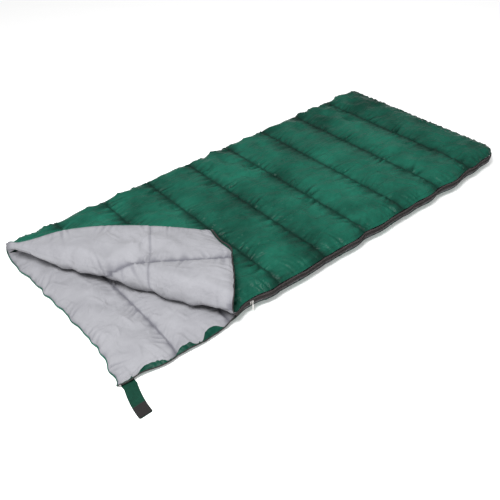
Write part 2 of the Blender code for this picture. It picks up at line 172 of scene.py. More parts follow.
def make_camera():
    azimuth, elevation, roll = math.radians(-36.26), math.radians(38.54), math.radians(-4.325)
    turn = Matrix.Rotation(azimuth, 4, "Z") @ Matrix.Rotation(math.pi / 2 - elevation, 4, "X")
    turn = turn @ Matrix.Rotation(roll, 4, "Z")
    target, distance = Vector((-0.229, -0.1665, 0.0)), 2.423
    data = bpy.data.cameras.new("camera")
    data.lens = 45.69
    data.sensor_width = 36.0
    camera = add_object("camera", data)
    camera.matrix_world = Matrix.Translation(target + turn @ Vector((0, 0, distance))) @ turn
    bpy.context.scene.camera = camera


def make_key_light(place=(-1.5, -0.9, 2.9), size=1.3, power=130):
    """A soft round light from the head and near side, aimed at the middle of the bag."""
    data = bpy.data.lights.new("key", "AREA")
    data.shape = "DISK"
    data.size = size
    data.energy = power
    light = add_object("key", data)
    light.location = place
    light.rotation_euler = (-Vector(place)).to_track_quat("-Z", "Y").to_euler()


def make_studio():
    world = bpy.data.worlds.new("studio")
    world.use_nodes = True
    nodes, links = world.node_tree.nodes, world.node_tree.links
    direction = nodes.new("ShaderNodeTexCoord")
    split = nodes.new("ShaderNodeSeparateXYZ")
    ceiling = nodes.new("ShaderNodeMapRange")
    ceiling.interpolation_type = "SMOOTHSTEP"
    set_inputs(ceiling, From_Min=0.0, From_Max=0.9, To_Min=0.55, To_Max=0.62)
    links.new(direction.outputs["Generated"], split.inputs["Vector"])
    links.new(split.outputs["Z"], ceiling.inputs["Value"])
    links.new(ceiling.outputs["Result"], nodes["Background"].inputs["Strength"])
    set_inputs(nodes["Background"], Color=(1, 1, 1, 1))
    bpy.context.scene.world = world
    make_key_light()
    bpy.context.scene.view_settings.view_transform = "Standard"
    mesh = bpy.data.meshes.new("floor")
    corners = [(x * FLOOR_REACH, y * FLOOR_REACH, 0) for x, y in ((-1, -1), (1, -1), (1, 1), (-1, 1))]
    mesh.from_pydata(corners, [], [(0, 1, 2, 3)])
    mesh.materials.append(floor_material())
    floor = add_object("floor", mesh)


# ---- materials


class Nodes:
    """A material whose surface is one Principled shader, with short names for the nodes it is made of."""

    def __init__(self, name, roughness, metallic=0.0, **constants):
        self.material = bpy.data.materials.new(name)
        self.material.use_nodes = True
        self.tree = self.material.node_tree
        self.shader = self.tree.nodes["Principled BSDF"]
        set_inputs(self.shader, Roughness=roughness, Metallic=metallic, **constants)
        self.place = self.add("ShaderNodeTexCoord").outputs["Object"]

    def add(self, kind, **settings):
        node = self.tree.nodes.new(kind)
        for key, value in settings.items():
            setattr(node, key, value)
        return node

    def link(self, output, socket):
        self.tree.links.new(output, socket)

    def texture(self, node, scale, **inputs):
        """Places a texture on the object at a scale, one for all three directions or one for each."""
        placed = self.add("ShaderNodeMapping")
        self.link(self.place, placed.inputs["Vector"])
        set_inputs(placed, Scale=scale if hasattr(scale, "__len__") else (scale,) * 3)
        self.link(placed.outputs["Vector"], node.inputs["Vector"])
        set_inputs(node, Scale=1.0, **inputs)
        return node.outputs

    def noise(self, scale, detail=3.0, roughness=0.55, distortion=0.0):
        node = self.add("ShaderNodeTexNoise")
        return self.texture(node, scale, Detail=detail, Roughness=roughness, Distortion=distortion)["Fac"]

    def wave(self, scale, direction, distortion=0.0):
        node = self.add("ShaderNodeTexWave", wave_type="BANDS", bands_direction=direction)
        return self.texture(node, scale, Distortion=distortion)["Fac"]

    def cells(self, scale):
        return self.texture(self.add("ShaderNodeTexVoronoi"), scale)["Distance"]

    def ramp(self, value, *stops):
        node = self.add("ShaderNodeValToRGB")
        self.link(value, node.inputs["Fac"])
        elements = node.color_ramp.elements
        while len(elements) < len(stops):
            elements.new(0.5)
        for element, (position, colour) in zip(elements, stops):
            element.position = position
            element.color = (*colour, 1.0)
        return node.outputs["Color"]

    def blend(self, kind, share, a, b):
        node = self.add("ShaderNodeMix", data_type="RGBA", blend_type=kind)
        set_inputs(node, Factor=share)
        self.link(a, node.inputs["A"])
        self.link(b, node.inputs["B"])
        return node.outputs["Result"]

    def sum(self, *weighted):
        total = None
        for value, weight in weighted:
            node = self.add("ShaderNodeMath", operation="MULTIPLY_ADD")
            self.link(value, node.inputs[0])
            node.inputs[1].default_value = weight
            node.inputs[2].default_value = 0.0
            if total is not None:
                self.link(total, node.inputs[2])
            total = node.outputs[0]
        return total

    def painted_seam_shade(self, colour, shade):
        """Multiplies painted shade into a cloth's colour, down to shade where the mesh's seam attribute is 1:
        in the rows of stitching and the valleys of their puckers.
        """
        marked = self.add("ShaderNodeAttribute", attribute_name="seam").outputs["Fac"]
        tint = self.ramp(marked, (0.0, grey(1.0)), (1.0, shade))
        return self.blend("MULTIPLY", 1.0, colour, tint)

    def colour(self, value):
        self.link(value, self.shader.inputs["Base Color"])

    def mottled(self, scale, detail, *stops):
        self.colour(self.ramp(self.noise(scale, detail), *stops))

    def rough(self, scale, detail, low, high):
        """Roughness that wanders between low and high."""
        node = self.add("ShaderNodeMapRange")
        self.link(self.noise(scale, detail), node.inputs["Value"])
        set_inputs(node, To_Min=low, To_Max=high)
        self.link(node.outputs["Result"], self.shader.inputs["Roughness"])

    def relief(self, *layers):
        """Stacks bumps. Each layer is a height, its strength and its distance in metres."""
        normal = None
        for height, strength, distance in layers:
            node = self.add("ShaderNodeBump")
            self.link(height, node.inputs["Height"])
            set_inputs(node, Strength=strength, Distance=distance)
            if normal is not None:
                self.link(normal, node.inputs["Normal"])
            normal = node.outputs["Normal"]
        self.link(normal, self.shader.inputs["Normal"])
        return self.material


def grey(value):
    return (value,) * 3


def floor_material():
    n = Nodes("studio_floor", 0.9)
    n.colour(n.ramp(n.noise(0.8), (0.0, grey(0.93)), (1.0, grey(0.96))))
    set_inputs(n.shader, Emission_Color=(1, 1, 1, 1), Emission_Strength=0.22)
    return n.material


def taffeta():
    """Thin green shell cloth with a soft shine, fine crumples and a plain weave."""
    n = Nodes("green_taffeta", 0.44, Sheen_Weight=0.0, Specular_IOR_Level=0.11)
    broad = n.ramp(n.noise(5, 4), (0.32, (0.0018, 0.041, 0.026)), (0.68, (0.0092, 0.114, 0.074)))
    fine = n.ramp(n.noise(60, 3), (0.3, grey(0.84)), (0.7, grey(1.0)))
    # Painted shade at the rows and puckers: the colour falls to (0.24, 0.28, 0.28) of itself there.
    n.colour(n.painted_seam_shade(n.blend("MULTIPLY", 0.6, broad, fine), (0.24, 0.28, 0.28)))
    n.rough(25, 3, 0.38, 0.50)
    folds = n.sum((n.noise(14, 2, 0.5, 1.0), 1.0), (n.noise((9, 32, 24), 2, 0.5, 1.0), 0.8))
    crumple = n.noise(60, 2, 0.5, 0.8)
    weave = n.sum((n.wave(1400, "X"), 0.5), (n.wave(1400, "Y"), 0.5))
    return n.relief((folds, 0.85, 0.012), (crumple, 0.16, 0.003), (weave, 0.08, 0.0002))


def brushed_lining():
    """Pale grey brushed lining, matt, with soft blotches and a short nap."""
    n = Nodes("grey_lining", 0.78, Sheen_Weight=0.10, Sheen_Roughness=0.5, Specular_IOR_Level=0.12)
    broad = n.ramp(n.noise(9, 4), (0.2, (0.248, 0.248, 0.267)), (0.8, (0.314, 0.314, 0.336)))
    nap = n.ramp(n.noise(420, 4, 0.7), (0.3, grey(0.88)), (0.7, grey(1.0)))
    # Painted shade at the rows and puckers: the colour falls to (0.40, 0.40, 0.44) of itself there.
    n.colour(n.painted_seam_shade(n.blend("MULTIPLY", 0.8, broad, nap), (0.40, 0.40, 0.44)))
    n.rough(40, 3, 0.68, 0.88)
    folds = n.sum((n.noise(20, 3, 0.5, 1.2), 1.0), (n.noise((14, 44, 30), 2, 0.5, 1.0), 0.8))
    crumple = n.noise(70, 3, 0.55, 0.9)
    return n.relief((folds, 0.42, 0.010), (crumple, 0.15, 0.003), (n.noise(700, 3, 0.7), 0.3, 0.0004))


def zip_tape_cloth():
    """Charcoal tape with fine ribs along it and a herringbone across."""
    n = Nodes("zip_tape_cloth", 0.75, Sheen_Weight=0.05, Sheen_Roughness=0.5, Specular_IOR_Level=0.15)
    n.mottled(120, 3, (0.2, (0.026, 0.021, 0.021)), (0.8, (0.048, 0.040, 0.039)))
    n.rough(80, 2, 0.66, 0.84)
    weave = n.sum((n.wave(900, "Z", 0.5), 0.6), (n.wave(1300, "DIAGONAL"), 0.6))
    return n.relief((weave, 0.6, 0.0004), (n.noise(300, 2), 0.3, 0.0004))


def coil_nylon():
    n = Nodes("coil_nylon", 0.5, Specular_IOR_Level=0.12)
    n.mottled(200, 2, (0.2, (0.020, 0.018, 0.018)), (0.8, (0.040, 0.036, 0.036)))
    n.rough(150, 2, 0.42, 0.60)
    return n.relief((n.noise(900, 2), 0.2, 0.0002))


def worn_nickel():
    """Plated metal, brushed, a little darker and rougher in patches."""
    n = Nodes("worn_nickel", 0.28, 1.0)
    n.mottled(260, 4, (0.25, (0.34, 0.33, 0.32)), (0.7, (0.60, 0.59, 0.57)))
    n.rough(500, 3, 0.20, 0.42)
    return n.relief((n.noise((200, 2400, 200), 2), 0.15, 0.0002), (n.noise(900, 3), 0.2, 0.0001))


def webbing():
    """Green strap webbing, ribbed across, with a fine over-and-under weave."""
    n = Nodes("green_webbing", 0.6, Sheen_Weight=0.02, Sheen_Roughness=0.5, Specular_IOR_Level=0.10)
    n.mottled(90, 4, (0.2, (0.0022, 0.028, 0.017)), (0.8, (0.0048, 0.047, 0.029)))
    n.rough(140, 2, 0.52, 0.70)
    weave = n.sum((n.wave(WEBBING_RIBS, "Y", 0.4), 0.6), (n.wave(WEBBING_RIBS, "X", 0.4), 0.4))
    return n.relief((weave, 0.7, 0.0005), (n.noise(600, 3), 0.3, 0.0003))


def touch_tape(name, scale, dark, light):
    """Hook or loop tape: a dense field of small tufts."""
    n = Nodes(name, 0.85, Sheen_Weight=0.05, Sheen_Roughness=0.6, Specular_IOR_Level=0.15)
    n.colour(n.ramp(n.cells(scale), (0.1, light), (0.6, dark)))
    n.rough(300, 2, 0.75, 0.95)
    return n.relief((n.cells(scale), 0.8, 0.0008), (n.noise(900, 3), 0.4, 0.0004))


def thread(name, dark, light):
    n = Nodes(name, 0.55, Sheen_Weight=0.02, Sheen_Roughness=0.4, Specular_IOR_Level=0.2)
    n.mottled(500, 2, (0.2, dark), (0.8, light))
    return n.relief((n.wave(2600, "DIAGONAL"), 0.4, 0.0002))


# ---- mesh helpers


def make_object(name, points, faces, material):
    mesh = bpy.data.meshes.new(name)
    mesh.from_pydata(np.asarray(points, float).tolist(), [], faces)
    mesh.polygons.foreach_set("use_smooth", [True] * len(mesh.polygons))
    mesh.materials.append(material)
    mesh.update()
    return add_object(name, mesh)


def grid_faces(rows, columns, wrap=False, start=0, flip=False):
    """Quads over a rows x columns grid of vertices; wrap closes the columns into a ring."""
    i, j = np.meshgrid(np.arange(rows - 1), np.arange(columns if wrap else columns - 1), indexing="ij")
    k = (j + 1) % columns
    quads = np.stack([i * columns + j, (i + 1) * columns + j, (i + 1) * columns + k, i * columns + k], -1)
    quads = quads.reshape(-1, 4) + start
    return (quads[:, ::-1] if flip else quads).tolist()


def add_cloth(name, place, material, shade_marks, flip=False):
    """An open sheet. Its fourth argument gives the painted shade at each point, from 0 to 1, for the seam
    attribute.
    """
    faces = grid_faces(*place.shape[:2], flip=flip)
    piece = make_object(name, place.reshape(-1, 3), faces, material)
    # The seam attribute holds the painted shade that the cloth materials multiply in.
    attribute = piece.data.attributes.new("seam", "FLOAT", "POINT")
    attribute.data.foreach_set("value", np.asarray(shade_marks, np.float32).ravel())
    return piece


def tube_object(name, sections, material):
    """A closed solid through sections, an array [n, k, 3] of rings."""
    count, sides = sections.shape[:2]
    faces = grid_faces(count, sides, wrap=True)
    faces.append(list(range(sides)))
    faces.append([(count - 1) * sides + k for k in reversed(range(sides))])
    piece = make_object(name, sections.reshape(-1, 3), faces, material)
    face_outward(piece)
    return piece


def face_outward(piece):
    """Turns the faces round if the solid is inside out."""
    mesh = piece.data
    mesh.calc_loop_triangles()
    co = np.array([v.co for v in mesh.vertices])
    a, b, c = (co[[t.vertices[k] for t in mesh.loop_triangles]] for k in range(3))
    if (a * np.cross(b, c)).sum() < 0:
        mesh.flip_normals()


# ---- the quilt, lying flat


CLOTH_SETTINGS = {
    "quality": 5,
    "mass": 0.15,
    "tension_stiffness": 15,
    "compression_stiffness": 15,
    "shear_stiffness": 7.5,
    "bending_stiffness": 0.15,
    "air_damping": 2,
    "vertex_group_mass": "held",
    "use_pressure": True,
    "uniform_pressure_force": 3.0,
    "shrink_min": -0.02,
    "shrink_max": -0.05,
    "vertex_group_shrink": "gathered",
}


def flat_grid():
    x = np.linspace(0.0, LENGTH, CHANNELS * COARSE + 1)
    s = np.linspace(0.0, HALF_FLAT, COARSE_ROWS + 1)
    return np.meshgrid(x, s, indexing="ij")


def seam_share(x):
    """How far x lies through its channel, from 0 to 1."""
    return (x / PITCH) % 1.0


def seam_distance(x):
    """Distance to the nearest row of stitching."""
    return np.abs((x / PITCH + 0.5) % 1 - 0.5) * PITCH


def crown(x):
    return np.clip(np.sin(math.pi * seam_share(x)), 0, 1) ** 0.6


def tapered_crown(x, s):
    return crown(x) * np.sqrt(1 - (1 - np.clip(s / TAPER, 0, 1)) ** 2)


def simulated_quilt(frames=20, seed=1):
    """Shell and lining of half the quilt, sewn together at the rows and hems and blown up by their fill. The
    cloth is cut a little larger than the gap between its seams, so it puckers there."""
    x, s = flat_grid()
    columns, rows = x.shape
    pinned = (np.arange(columns)[:, None] % COARSE == 0) | (np.arange(rows)[None, :] == 0)
    middle = np.zeros_like(pinned)
    middle[:, -1] = True
    top = np.stack([x, s, 0.014 * tapered_crown(x, s)], -1)
    top[middle, 2] = 0.020 * crown(x)[middle]
    free = ~(pinned | middle)
    top[free] += np.random.default_rng(seed).normal(0, 0.0006, top[free].shape)

    count = columns * rows
    own_below = ~pinned.ravel()
    below = np.where(own_below, count + np.cumsum(own_below) - 1, np.arange(count))
    points = np.vstack([top.reshape(-1, 3), (top * [1, 1, -1]).reshape(-1, 3)[own_below]])
    above_faces = np.array(grid_faces(columns, rows))
    faces = above_faces.tolist() + below[above_faces[:, ::-1]].tolist()
    cloth = make_object("quilt_cloth", points, faces, bpy.data.materials.new("plain"))
    held = np.flatnonzero((pinned | middle).ravel()).tolist() + below[middle.ravel()].tolist()
    cloth.vertex_groups.new(name="held").add([int(i) for i in held], 1.0, "REPLACE")
    near_seam = np.exp(-seam_distance(points[:, 0]) / 0.02)
    gathered = cloth.vertex_groups.new(name="gathered")
    for level in range(1, 11):
        members = [int(i) for i in np.flatnonzero(np.round(near_seam * 10) == level)]
        gathered.add(members, level / 10, "REPLACE")

    modifier = cloth.modifiers.new("cloth", "CLOTH")
    for key, value in CLOTH_SETTINGS.items():
        setattr(modifier.settings, key, value)
    modifier.settings.effector_weights.gravity = 0
    modifier.collision_settings.use_collision = False
    modifier.point_cache.frame_end = frames
    scene = bpy.context.scene
    for number in range(1, frames + 1):
        scene.frame_set(number)
    result = cloth.evaluated_get(bpy.context.evaluated_depsgraph_get()).data
    place = np.zeros(len(points) * 3)
    result.vertices.foreach_get("co", place)
    place = place.reshape(-1, 3)
    scene.frame_set(1)
    bpy.data.objects.remove(cloth)
    quilt = np.stack([place[:count], place[below]]).reshape(2, columns, rows, 3)
    quilt[..., 2] *= HALF_LOFT / np.abs(quilt[..., 2]).max()
    return quilt


def cubic_weights(count, steps):
    """A matrix that reads a row of count + 1 values at steps times as many places, along smooth curves."""
    at = np.linspace(0, count, steps + 1)
    cell = np.minimum(at.astype(int), count - 1)
    f = (at - cell)[:, None]
    outer_left, inner_left = -f + 2 * f**2 - f**3, 2 - 5 * f**2 + 3 * f**3
    inner_right, outer_right = f + 4 * f**2 - 3 * f**3, -(f**2) + f**3
    w = 0.5 * np.hstack([outer_left, inner_left, inner_right, outer_right])
    matrix = np.zeros((steps + 1, count + 3))
    for offset in range(4):
        matrix[np.arange(steps + 1), cell + offset] += w[:, offset]
    matrix[:, 1] += 2 * matrix[:, 0]
    matrix[:, 2] -= matrix[:, 0]
    matrix[:, -2] += 2 * matrix[:, -1]
    matrix[:, -3] -= matrix[:, -1]
    return matrix[:, 1:-1]


def softened(values):
    """Takes the grid-sized roughness out of a simulated sheet, and leaves its seams where they are."""
    out = values.copy()
    for channel in range(CHANNELS):
        part = slice(channel * COARSE + 1, (channel + 1) * COARSE)
        left = values[channel * COARSE : (channel + 1) * COARSE - 1]
        right = values[channel * COARSE + 2 : (channel + 1) * COARSE + 1]
        out[part] = 0.25 * left + 0.5 * values[part] + 0.25 * right
    mixed = out.copy()
    mixed[:, 1:-1] = 0.25 * out[:, :-2] + 0.5 * out[:, 1:-1] + 0.25 * out[:, 2:]
    return mixed


def refined(sheet, fine, rows):
    """The same sheet on a finer grid, smooth within each channel and sharp at the rows of stitching."""
    across = cubic_weights(COARSE_ROWS, rows)
    along = cubic_weights(COARSE, fine)
    parts = []
    for channel in range(CHANNELS):
        part = np.einsum("ai,ijk->ajk", along, sheet[channel * COARSE : (channel + 1) * COARSE + 1])
        parts.append(part if channel == CHANNELS - 1 else part[:-1])
    return np.einsum("bj,ajk->abk", across, np.concatenate(parts))


def pucker(x, q, seed, height=PUCKER_HEIGHT, reach=0.026, wavelength=0.026):
    """Short creases that run out of every row of stitching."""
    total = 0.0
    for seam in range(CHANNELS + 1):
        distance = x - seam * PITCH
        for side in (-1, 1):
            away = np.clip(distance * side, 0, None)
            active = (away > 0) * beside(away, 0.005, reach)
            slant = q + 0.25 * away * ripple(q, seed + 90 + seam, 0.3)
            wave = ripple(slant, seed + 3 * seam + side, wavelength)
            strength = np.clip(0.75 + 0.55 * ripple(q, seed + 50 + seam * side, 0.16), 0.1, 1.8)
            total = total + height * active * wave * strength
    return total


def creases(x, q, seed, height=0.0045):
    """Long thin creases in four directions, each broken into short lengths."""
    total = 0.0
    for turn in (15, 62, 108, 158):
        c, s = math.cos(math.radians(turn)), math.sin(math.radians(turn))
        across, along = c * x + s * q, c * q - s * x
        bent = across + 0.012 * ripple(along, seed + turn, 0.18)
        line = np.clip(1 - np.abs(ripple(bent, seed + turn + 1, 0.13, waves=4)), 0, 1)
        broken = np.clip(ripple(along, seed + turn + 2, 0.17) * ripple(across, seed + turn + 3, 0.23), 0, 1.3)
        total = total + height * line**5 * broken
    return total


def corner_folds(x, s):
    """Long folds in the last channel, spread out from the rounded corner at the foot."""
    away_x, away_s = LENGTH - 0.085 - x, s - 0.055
    total = 0.0
    for turn, start, end, height in (
        (97, 0.10, 0.40, 0.0034),
        (84, 0.12, 0.30, 0.0026),
        (62, 0.04, 0.27, 0.0050),
        (47, 0.05, 0.22, 0.0044),
        (30, 0.03, 0.20, 0.0040),
        (8, 0.03, 0.17, 0.0034),
    ):
        c, w = math.cos(math.radians(turn)), math.sin(math.radians(turn))
        along, across = away_x * c + away_s * w, away_s * c - away_x * w
        ridge = bump(across, 0.0, 0.006) - 0.5 * bump(across, 0.013, 0.008)
        total = total + height * ridge * smooth((along - start) / 0.05) * smooth((end - along) / 0.08)
    return total


def lumps(x, q, seed):
    """The fill isn't even."""
    broad = 0.0022 * ripple(x, seed, 0.13) * ripple(q, seed + 1, 0.20)
    return broad + 0.0014 * ripple(q + 0.5 * x, seed + 2, 0.10)


def inside_hems(x, s, width):
    """0 at the zip edge, the head and the foot, and 1 past width."""
    near = np.minimum(np.clip(s, 0, None), np.minimum(np.clip(x, 0, None), np.clip(LENGTH - x, 0, None)))
    return 1 - np.exp(-near / width)


def thinnest(x, s):
    """The least that each cloth stays off the quilt's middle: the two meet only at the hems."""
    return THINNEST * inside_hems(x, s, 0.006)


def dressed(sheet, side, q, seed):
    """Fills the channels out, so their crowns are broad and flat, and adds the creases that are finer than
    the simulation. side is 1 for the upper face and -1 below."""
    x, s, z = columns_of(sheet)
    folded = smooth((s - (FOLD_Y - NEAR)) / 0.05)
    left = (SEAM_LOFT + (SIDE_SEAM_LOFT - SEAM_LOFT) * folded) * inside_hems(x, s, 0.010)
    rise = left + (1 - left) * np.clip(np.abs(z) / HALF_LOFT, 0, 1) ** 0.9
    z = side * HALF_LOFT * rise
    z = z + side * pucker(x, q, seed) * inside_hems(x, s, 0.008)
    patchy = np.clip(0.7 + 0.5 * ripple(x, seed + 210, 0.12), 0.1, 1.6)
    fine = ripple(x + 0.3 * s, seed + 200, 0.024, spread=0.5)
    z = z + side * PUCKER_HEIGHT * beside(s, 0.007, 0.034) * patchy * fine
    foot = beside(np.clip(LENGTH - x, 0, None), 0.006, 0.030)
    z = z + side * 0.0026 * foot * ripple(q, seed + 201, 0.030, spread=0.6)
    lumpy = lumps(x, q, seed + 500) * (1 - np.exp(-seam_distance(x) / 0.03))
    z = z + side * (creases(x, q, seed + 400) + lumpy) * inside_hems(x, s, 0.02)
    z = z + side * corner_folds(x, s) * (side > 0)
    z = side * np.maximum(side * z, thinnest(x, s))
    bend = np.exp(-np.abs(s - 0.02) / 0.4) * 0.004 * ripple(s, seed + 300, 0.35, waves=5)
    return np.stack([x + bend * crown(x), s, z], -1)


# ---- from the flat quilt to the bag


def round_corner(x, y):
    """Turns the square corner at the foot of the zip side into a round one."""
    u = np.clip((x - CORNER_X) / FOOT_CORNER, 0, None)
    v = np.clip((CORNER_Y - y) / FOOT_CORNER, 0, None)
    inside = (u > 0) & (v > 0)
    round_u = u * np.sqrt(np.clip(1 - v * v / 2, 0, 1))
    round_v = v * np.sqrt(np.clip(1 - u * u / 2, 0, 1))
    new_x = np.where(inside, CORNER_X + round_u * FOOT_CORNER, x)
    return new_x, np.where(inside, CORNER_Y - round_v * FOOT_CORNER, y)


def edge_sway(x):
    """How far the zip edge of the closed bag wanders, in y. It is pulled in at the rows, and still at the
    slider and round the foot corner."""
    calm = smooth(np.abs(x - SLIDER_X) / 0.06) * smooth((CORNER_X - x) / 0.05)
    pulled = 0.0045 * np.exp(-seam_distance(x - HEAD) / 0.022)
    bowed = -ZIP_BOW * smooth((x - SLIDER_X) / 0.12) * smooth((CORNER_X - x) / 0.25)
    return (pulled + 0.0024 * ripple(x, 77, 0.17, waves=6)) * calm + bowed


def open_sway(x):
    """How far the open lower edge leaves the closed bag's line: its corner is drawn in, and it bows out
    between there and the slider."""
    start = SLIDER_X - 0.03
    share = np.clip((start - x) / (start - HEAD), 0, 1)
    return 0.020 * share**3 - 0.012 * np.sin(math.pi * share**0.8)


def open_share(x):
    """0 in the closed bag, 1 where the zip is open and its two sides have come apart."""
    return smooth((OPEN_START - x) / 0.12)


def flap_sway(x):
    """How far the flap's zip edge bows out between the slider and its tip, where it is drawn in."""
    bowed = -FLAP_BOW * smooth((x - HEAD) / 0.22) * smooth((OPEN_START - x) / 0.11)
    return bowed + TIP_DRAW * np.exp(-(np.clip(x - HEAD, 0, None) / 0.10) ** 1.5)


def head_bow(y):
    """How far the lower quilt's head hem is drawn in."""
    share = np.clip((FOLD_Y + 0.03 - y) / (FOLD_Y + 0.03 - NEAR), 0, 1)
    return 0.020 * np.sin(math.pi * share) + 0.020 * np.sin(math.pi * share**3)


def hem_wander(y):
    return (0.0045 * ripple(y, 88, 0.075) + 0.003 * ripple(y, 89, 0.16)) * smooth((FOLD_Y - 0.02 - y) / 0.06)


def side_radius(own, s):
    """Distance of a quilt's middle from the centre of the folded side. Both quilts meet at its outermost
    line."""
    shared = (UPPER_MIDDLE - LOWER_MIDDLE) / 2
    return own + (shared - own) * smooth((s - (FOLD_Y - NEAR)) / (HALF_FLAT - FOLD_Y + NEAR))


def wrap_side(x, s, radius, up):
    """Lays a point at s across the flat quilt into the bag, and round the folded side."""
    beyond = np.clip((s - (FOLD_Y - NEAR)) / SIDE_REACH, 0, math.pi / 2)
    y = np.minimum(NEAR + s, FOLD_Y) + radius * np.sin(beyond)
    return x, y, SIDE_Z + up * radius * np.cos(beyond)


def edge_amount(x, s):
    """1 at the zip edge and at the foot, 0 a taper's width inside."""
    inside = np.minimum(np.clip(s / TAPER, 0, 1), np.clip((FOOT - x) / TAPER, 0, 1))
    return (1 - inside) ** 2


def middle_height(x, s, middle, edge_z, hem_z):
    """Height of a quilt's middle. It runs out to edge_z at the zip edge and the foot, and to hem_z at the
    head."""
    middle = middle + (edge_z - middle) * edge_amount(x, s)
    hem = (1 - np.clip((x - HEAD) / HEAD_TAPER, 0, 1)) ** 2
    return middle + (hem_z - middle) * hem


def lay_lower(sheet):
    x, s, z = columns_of(sheet + [HEAD, 0, 0])
    middle = middle_height(x, s, LOWER_MIDDLE, LOWER_EDGE_Z - OPEN_DROP * open_share(x), HEM_Z)
    radius = side_radius(SIDE_Z - middle, s) - z
    x, y, z = wrap_side(x, s, radius, -1)
    x = x + head_bow(y) * fading(x - HEAD, 0.16)
    x = x + hem_wander(y) * fading(x - HEAD, 0.04)
    y = y + (edge_sway(x) + open_sway(x)) * fading(s, EDGE_FADE)
    x, y = round_corner(x, y)
    z = np.where(z < 0.004, 0.0006 + 0.0034 * np.exp(np.minimum(z - 0.004, 0) / 0.0034), z)
    return np.stack([x, y, z], -1)


def opening_lift(x):
    """How far the upper zip edge stands off the lower one, past the slider."""
    return OPEN_LIFT * smooth((SLIDER_X - 0.01 - x) / 0.10)


def lay_upper(sheet, inner, lining=False):
    """inner is how far inside the crease's roll this cloth turns."""
    x, s, z = columns_of(sheet + [HEAD, 0, 0])
    middle = middle_height(x, s, UPPER_MIDDLE, UPPER_EDGE_Z + opening_lift(x), UPPER_EDGE_Z)
    radius = side_radius(middle - SIDE_Z, s) + z
    x, y, z = wrap_side(x, s, radius, 1)
    y = y + edge_sway(x) * fading(s, EDGE_FADE) + flap_sway(x) * fading(s, 0.18)
    x, y = round_corner(x, y)
    points = np.stack([x, y, z], -1)
    return fold_flap(shape_flap(points), inner, lining)


def shape_flap(points):
    """The free corner isn't flat. Its head edge bows out and hangs, which lifts it once it is folded, and
    its tip slumps onto the bag. Beside the crease the quilt is thicker, because it bunches up, but where the
    crease meets the folded side it is pressed flat."""
    x, y, z = columns_of(points)
    share = np.clip((FOLD_Y - y) / (FOLD_Y - NEAR), 0, 1)
    across = (points - CREASE_POINT) @ ACROSS
    t = (points - CREASE_POINT) @ ALONG
    pressed = 0.74 * smooth((t + 0.03) / 0.08) * (1 - smooth(t / 0.34))
    pressed *= smooth((0.07 - across) / 0.06) * smooth((FOLD_Y + 0.03 - y) / 0.03)
    z = z + np.clip(HIGHEST - z, 0, None) * pressed
    past = smooth(-across / 0.10)
    middle = np.sin(math.pi * share**0.85)
    slid = (0.026 * share**3 - 0.024 * middle) * fading(x - HEAD, 0.13)
    slid = slid - 0.020 * share**2 * bump(np.clip(x - HEAD, 0, None), PITCH, 0.09)
    dropped = 0.024 * share**3 * fading(x - HEAD, 0.08) - 0.014 * middle * fading(x - HEAD, 0.10)
    bunched = -0.009 * bump(across, 0.0, 0.09) * smooth((FOLD_Y - 0.05 - y) / 0.20)
    height = z + dropped * past + bunched
    return np.stack([x + slid * past, y, below_axis(height)], -1)


def below_axis(height, room=0.006):
    """Nothing of the closed bag comes up to the crease's axis: what lies above it goes with the flap."""
    start = HIGHEST - room
    return np.where(height > start, start + room * (1 - np.exp(-(height - start) / room)), height)


def roll_width(t):
    return ROLL_AT_SIDE + (ROLL - ROLL_AT_SIDE) * smooth(t / 0.25)


def fold_flap(points, inner, lining=False):
    """Carries points of the closed bag round the crease: what lies past it turns over onto the bag. The
    lining bulges unevenly there, and keeps off the axis, so it stays inside the shell once it is closed."""
    place = points - CREASE_POINT
    t, u, drop = place @ ALONG, place @ ACROSS, -place[..., 2]
    roll = roll_width(t)
    angle = math.pi * np.clip((roll - u) / (2 * roll), 0, 1)
    sagging = 1 + 0.30 * np.cos(angle) * smooth(drop / 0.02)
    rounded = roll - np.maximum(roll - inner, 0.001) * np.sin(angle) * sagging
    u = np.where(u >= roll, u, np.where(u <= -roll, -u, rounded))
    if lining:
        calm = smooth(t / 0.12) * smooth((CREASE_LENGTH - t) / 0.10)
        calm *= (roll / ROLL) ** 2 * (1 - bump(seam_distance(points[..., 0] - HEAD), 0.0, 0.028))
        bulge = 0.0055 + 0.0055 * ripple(t, 95, 0.30, waves=5) + 0.0018 * ripple(t, 96, 0.09)
        u = u - np.clip(bulge, 0, 0.014) * calm * np.exp(-((u / 0.07) ** 2)) * (angle > 0)
    folded = CREASE_POINT + t[..., None] * ALONG + u[..., None] * ACROSS
    height = -drop * np.cos(angle)
    if lining:
        apart = np.copysign(np.maximum(np.abs(height), LINING_CLEARANCE), height)
        height = np.where((angle > 0) & (angle < math.pi), apart, height)
    folded[..., 2] = AXIS_Z + height
    return folded


def rides(piece, body, slot_name, *nodes):
    """The piece moves with one body as a whole."""
    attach(piece, body)
    stand_for(piece, slot_name, *nodes)


def turns_with_flap(piece, slot_name, *nodes):
    """A cloth that crosses the crease, laid already folded: its place is baked into its mesh, and the CAD
    nodes it takes the place of are hidden.
    """
    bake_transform(piece)
    stand_for(piece, slot_name, *nodes)


def stand_for(piece, slot_name, *nodes):
    """Hides the CAD nodes that the piece takes the place of, if there are any; slot_name is not used."""
    if nodes:
        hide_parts(*nodes)


def fill_nodes(*prefixes):
    return [name for name in frame["nodes"] if name.startswith(tuple(p + "_fill" for p in prefixes))]


def join_wander(x):
    return 0.003 * ripple(x, 41, 0.4, waves=4)


